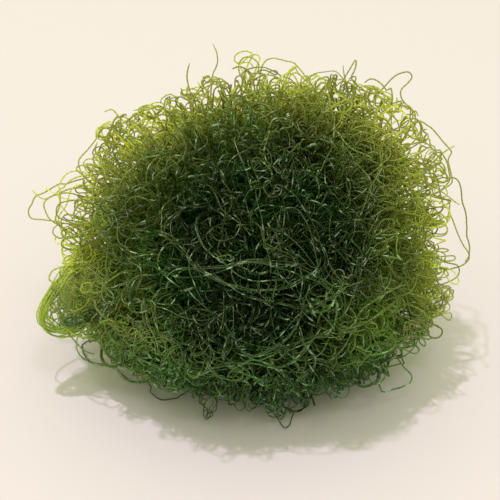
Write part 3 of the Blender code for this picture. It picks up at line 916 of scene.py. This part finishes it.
frontPlaces = [
    [(181, 211), (172, 221), (171, 233), (177, 243), (187, 255), (194, 264)],
    [(178, 244), (168, 243), (161, 250), (158, 261), (161, 270), (167, 278)],
    [(229, 268), (239, 275), (252, 280), (262, 281), (272, 280)],
    [(258, 205), (263, 219), (266, 236), (269, 256)],
    [(300, 212), (310, 227), (315, 242), (317, 261)],
    [(288, 236), (302, 248), (312, 262)],
    [(223, 281), (239, 292), (248, 297), (263, 302)],
    [(300, 296), (303, 282), (301, 272)],
    [(286, 329), (301, 312), (315, 309), (330, 298)],
    [(218, 200), (224, 213), (238, 222)],
    [(148, 305), (165, 309), (182, 317), (201, 320), (214, 318)],
    [(189, 263), (190, 274), (195, 285)],
    [(197, 300), (206, 308), (216, 317)],
    [(132, 280), (124, 291), (122, 299), (128, 305), (146, 300)],
    [(147, 316), (150, 329), (158, 343)],
    [(106, 318), (116, 330), (122, 342), (120, 353), (128, 362), (135, 360)],
    [(86, 270), (93, 283), (110, 288)],
    [(235, 143), (240, 159), (246, 170)],
    [(264, 141), (278, 127)],
    [(334, 125), (333, 146), (322, 168)],
    [(249, 149), (259, 144), (267, 149)],
    [(291, 152), (303, 140)],
    [(361, 168), (371, 181), (370, 197)],
    [(379, 173), (371, 187), (366, 200)],
    [(409, 174), (412, 192), (416, 204), (423, 210)],
    [(367, 260), (375, 247), (386, 240)],
    [(240, 340), (262, 348), (290, 346), (314, 336)],
    [(170, 352), (186, 366), (208, 372), (232, 368)],
    [(330, 330), (342, 316), (346, 298), (340, 284)],
]

frontLowPlaces = [
    [(235, 336), (240, 348), (256, 357), (270, 354)],
    [(239, 364), (256, 365), (278, 369), (296, 361), (306, 350), (315, 338), (329, 333), (336, 320),
     (338, 306)],
    [(240, 364), (253, 359), (270, 364), (284, 374), (292, 385), (292, 395), (284, 403)],
    [(299, 368), (306, 378), (306, 386), (303, 392), (295, 392)],
    [(308, 350), (315, 358), (315, 367), (306, 375), (295, 385)],
    [(400, 285), (382, 295), (362, 310), (354, 327), (345, 344), (334, 358)],
    [(400, 344), (388, 353), (374, 360), (362, 362)],
    [(354, 327), (365, 323), (379, 313), (390, 306)],
    [(180, 367), (197, 372), (208, 375), (216, 375), (226, 383)],
    [(180, 382), (194, 388), (208, 394), (222, 399), (239, 399)],
    [(207, 372), (214, 358), (212, 347)],
    [(302, 308), (296, 326), (287, 339), (275, 347), (259, 355)],
    [(226, 345), (224, 358), (232, 366), (246, 372), (262, 380)],
]

frontPairsPlaces = [
    [(190, 269), (211, 268), (227, 266), (247, 261), (271, 263), (290, 265), (302, 269), (316, 276),
     (330, 285)],
    [(197, 235), (202, 246), (212, 256)],
    [(204, 272), (226, 284), (254, 290), (284, 286), (306, 276)],
    [(268, 300), (300, 304), (330, 296), (352, 276)],
]

strands = {
    # Rim strands take the copy painted pale as rim light
    "end": {"places": endPlaces, "sink": 1.5, "oneTail": True, "finish": "paintedRimLightAlgae"},
    "rim": {"places": rimPlaces, "sink": 1.5, "finish": "paintedRimLightAlgae"},
    "flap": {"places": flapPlaces, "sink": 2.0, "copies": 6, "apart": 3.0, "finish": "paintedRimLightAlgae"},
    "low_left": {"places": lowLeftPlaces, "sink": 0.4, "copies": 3, "apart": 2.6, "finish": "skirtAlgae"},
    # Front strands take the copy painted bright as glints
    "front": {"places": frontPlaces, "sink": 1.3, "radius": 0.00019, "finish": "paintedGlintAlgae"},
    "front_low": {
        "places": frontLowPlaces, "sink": 0.2, "copies": 2, "apart": 1.3,
        "radius": 0.00019, "finish": "paintedGlintAlgae",
    },
    "front_pairs": {
        "places": frontPairsPlaces, "sink": 1.5, "copies": 3, "apart": 1.1,
        "radius": 0.00019, "finish": "paintedGlintAlgae",
    },
}

floorStrands = [
    [(82, 345), (84, 354), (93, 363), (107, 365), (119, 370), (128, 380), (140, 383), (152, 379)],
    [(150, 392), (162, 400), (178, 398)],
]

# Nets of small loops on the flap at the left, its shaded underside, the skirt at the foot and the shoulders
nets = {
    "flap_net": {
        "corners": [(40, 316), (49, 331), (76, 333), (98, 312), (112, 290), (92, 262), (68, 262), (51, 286)],
        "count": 170, "loop": (3.0, 13.0), "turns": (0.4, 1.0), "sink": 1.0, "finish": "flapAlgae",
    },
    "flap_shade": {
        "corners": [(54, 322), (70, 317), (90, 311), (112, 298), (122, 306), (104, 320), (78, 331),
                    (60, 330)],
        "count": 90, "loop": (3.0, 8.0), "turns": (0.5, 1.1), "sink": 0.6, "finish": "shadedAlgae",
    },
    "skirt_net": {
        "corners": [(92, 318), (120, 312), (160, 326), (206, 366), (196, 388), (160, 388), (128, 369),
                    (99, 352)],
        "count": 60, "loop": (7.0, 28.0), "turns": (0.2, 0.7), "sink": 0.6, "finish": "skirtAlgae",
    },
    "skirt_front": {
        "corners": [(190, 389), (200, 366), (260, 376), (318, 374), (338, 384), (300, 399), (236, 400)],
        "count": 50, "loop": (4.0, 16.0), "turns": (0.3, 0.8), "sink": 0.6, "finish": "skirtAlgae",
    },
    "skirt_right": {
        "corners": [(326, 392), (384, 366), (424, 336), (455, 300), (450, 270), (430, 300), (390, 334),
                    (340, 362), (312, 380)],
        "count": 80, "loop": (5.0, 18.0), "turns": (0.3, 0.8), "sink": 0.6, "finish": "skirtAlgae",
    },
    "left_shoulder": {
        "corners": [(78, 176), (98, 124), (148, 103), (186, 84), (216, 70), (226, 88), (166, 118),
                    (118, 140), (90, 186)],
        "count": 46, "loop": (6.0, 15.0), "turns": (0.4, 1.0), "sink": 0.4, "finish": "paintedRimLightAlgae",
    },
    "right_shoulder": {
        "corners": [(322, 74), (386, 88), (414, 108), (442, 150), (454, 206), (440, 210), (422, 164),
                    (396, 122), (320, 92)],
        "count": 60, "loop": (6.0, 15.0), "turns": (0.4, 1.0), "sink": 0.4, "finish": "paintedRimLightAlgae",
    },
}

netMake = {"spots": 9, "uneven": 0.16, "flat": (0.5, 1.0)}

strandMake = dict(loose, radius=0.00017, sides=4, crinkle=0.00015, tail=0.010, tailDepth=0.006,
                  floorTail=0.016, thickness=(0.9, 1.15), tints=(0.4, 1.0))


sight = {"from": 0.09, "halvings": 24}  # how far before the mat's middle a line of sight is followed in


def sightLine(across, down):
    tilt = math.radians(view["elevation"])
    back = np.array((0.0, -math.cos(tilt), math.sin(tilt)))
    up = np.array((0.0, math.sin(tilt), math.cos(tilt)))
    half = view["across"] / 2
    focus = view["lens"] / view["sensor"] * view["across"]
    eye = np.array(view["aim"]) + back * view["distance"]
    way = unit(np.array((1.0, 0.0, 0.0)) * (across - half) / focus + up * (half - down) / focus - back)
    return eye, way


def onMat(across, down, sink):
    eye, way = sightLine(across, down)
    near = (middle - eye) @ way
    if depthOf(eye + way * near) < sink:
        return eye + way * near
    outside, inside = near - sight["from"], near
    for _ in range(sight["halvings"]):
        half = (outside + inside) / 2
        if depthOf(eye + way * half) < sink:
            outside = half
        else:
            inside = half
    return eye + way * inside


def onFloor(across, down):
    eye, way = sightLine(across, down)
    return eye + way * (floorGap - eye[2]) / way[2]


def within(corners, spot):
    x, y = spot
    inside = False
    for (x0, y0), (x1, y1) in zip(corners, corners[1:] + corners[:1]):
        if (y0 > y) != (y1 > y) and x < x0 + (x1 - x0) * (y - y0) / (y1 - y0):
            inside = not inside
    return inside


def netLoops(plan, make, seed):
    dice = np.random.default_rng(seed)
    corners = plan["corners"]
    low, high = np.min(corners, axis=0), np.max(corners, axis=0)
    loops = []
    while len(loops) < plan["count"]:
        centre = dice.uniform(low, high)
        size = dice.uniform(*plan["loop"])
        flat = dice.uniform(*make["flat"])
        tilt = dice.uniform(0, math.pi)
        turn = dice.uniform(0, math.tau) + np.linspace(0, math.tau * dice.uniform(*plan["turns"]),
                                                       make["spots"])
        far = size * (1 + dice.normal(0, make["uneven"], make["spots"]))
        wide, tall = far * np.cos(turn), far * flat * np.sin(turn)
        spots = centre + np.stack([wide * math.cos(tilt) - tall * math.sin(tilt),
                                   wide * math.sin(tilt) + tall * math.cos(tilt)], -1)
        if all(within(corners, spot) for spot in spots):
            loops.append(spots)
    return loops


for index, (name, plan) in enumerate(nets.items()):
    strands[name] = {
        "places": netLoops(plan, netMake, seeds["nets"] + index),
        "sink": plan["sink"],
        "noTails": True,
        "finish": plan["finish"],
    }


def addStrands(name, plan, seed, make):
    dice = np.random.default_rng(seed)
    paths = []
    for places in plan["places"]:
        for _ in range(plan.get("copies", 1)):
            shift = dice.normal(0, plan.get("apart", 0.0), 2)
            spots = [onMat(x + shift[0], y + shift[1], plan["sink"] / 1000) for x, y in places]
            path = crinkled(dice, smoothPath(spots), make["crinkle"], make["crinkleLength"])
            if not plan.get("noTails"):
                path = withTails(dice, path, make, not plan.get("oneTail"))
            paths.append(path)
    longest = max(len(path) for path in paths)
    rings = round(longest * fineStride * make["ringsPerMetre"])
    radii = plan.get("radius", make["radius"]) * dice.uniform(*make["thickness"], len(paths))
    tints = dice.uniform(*make["tints"], len(paths))
    piece = tubes(name + "_strands", paths, rings, radii, make["sides"], tints)
    piece.data.materials.append(materials[plan["finish"]])
    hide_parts("tangle")


for index, (name, plan) in enumerate(strands.items()):
    addStrands(name, plan, seeds["strands"] + index, strandMake)


def addFloorStrands(lines, seed, make):
    dice = np.random.default_rng(seed)
    paths = []
    for places in lines:
        path = crinkled(dice, smoothPath([onFloor(x, y) for x, y in places]), make["crinkle"],
                        make["crinkleLength"])
        path[:, 2] = floorGap
        paths.append(withTails(dice, path, dict(make, tail=make["floorTail"])))
    rings = round(max(len(path) for path in paths) * fineStride * make["ringsPerMetre"])
    piece = tubes("floor_strands", paths, rings, np.full(len(paths), make["radius"]), make["sides"],
                  dice.random(len(paths)))
    piece.data.materials.append(materials["shadedAlgae"])
    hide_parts("tangle")


addFloorStrands(floorStrands, seeds["floor"], strandMake)


# Floor and light

floor = {
    "size": 20.0,
    "colour": (0.862, 0.735, 0.850),
    "roughness": 0.75,
}


def addFloor(plan):
    bm = bmesh.new()
    bmesh.ops.create_grid(bm, x_segments=1, y_segments=1, size=plan["size"] / 2)
    mesh = bpy.data.meshes.new("floor")
    bm.to_mesh(mesh)
    bm.free()
    piece = bpy.data.objects.new("floor", mesh)
    bpy.context.scene.collection.objects.link(piece)
    material = bpy.data.materials.new("paleFloor")
    material.use_nodes = True
    shader = material.node_tree.nodes["Principled BSDF"]
    shader.inputs["Base Color"].default_value = (*plan["colour"], 1)
    shader.inputs["Roughness"].default_value = plan["roughness"]
    piece.data.materials.append(material)


addFloor(floor)

lamps = {
    "key": {"turn": 195.0, "lift": 80.0, "size": 0.05, "power": 5.45},
    "soft": {"turn": 90.0, "lift": 82.0, "size": 1.8, "power": 0.4},
    "front": {"turn": 285.0, "lift": 62.0, "size": 0.2, "power": 1.5},
}
lampMake = {"away": 1.2, "colour": (1.0, 0.91, 1.02)}
studio = {"Color": (0.86, 1.0, 0.56, 1), "Strength": 0.79}


def addLamp(name, plan, make):
    turn, lift = math.radians(plan["turn"]), math.radians(plan["lift"])
    way = Vector((math.cos(turn) * math.cos(lift), math.sin(turn) * math.cos(lift), math.sin(lift)))
    data = bpy.data.lights.new(name, "AREA")
    data.shape = "DISK"
    data.size = plan["size"]
    data.energy = plan["power"]
    data.color = make["colour"]
    lamp = bpy.data.objects.new(name, data)
    lamp.location = Vector(middle) + way * make["away"]
    lamp.rotation_mode = "QUATERNION"
    lamp.rotation_quaternion = way.to_track_quat("Z", "Y")
    bpy.context.scene.collection.objects.link(lamp)


for name, plan in lamps.items():
    addLamp(name, plan, lampMake)

world = bpy.data.worlds.new("studio")
world.use_nodes = True
for label, value in studio.items():
    world.node_tree.nodes["Background"].inputs[label].default_value = value
bpy.context.scene.world = world
bpy.context.scene.view_settings.view_transform = "Standard"
print("floor and lamps placed")
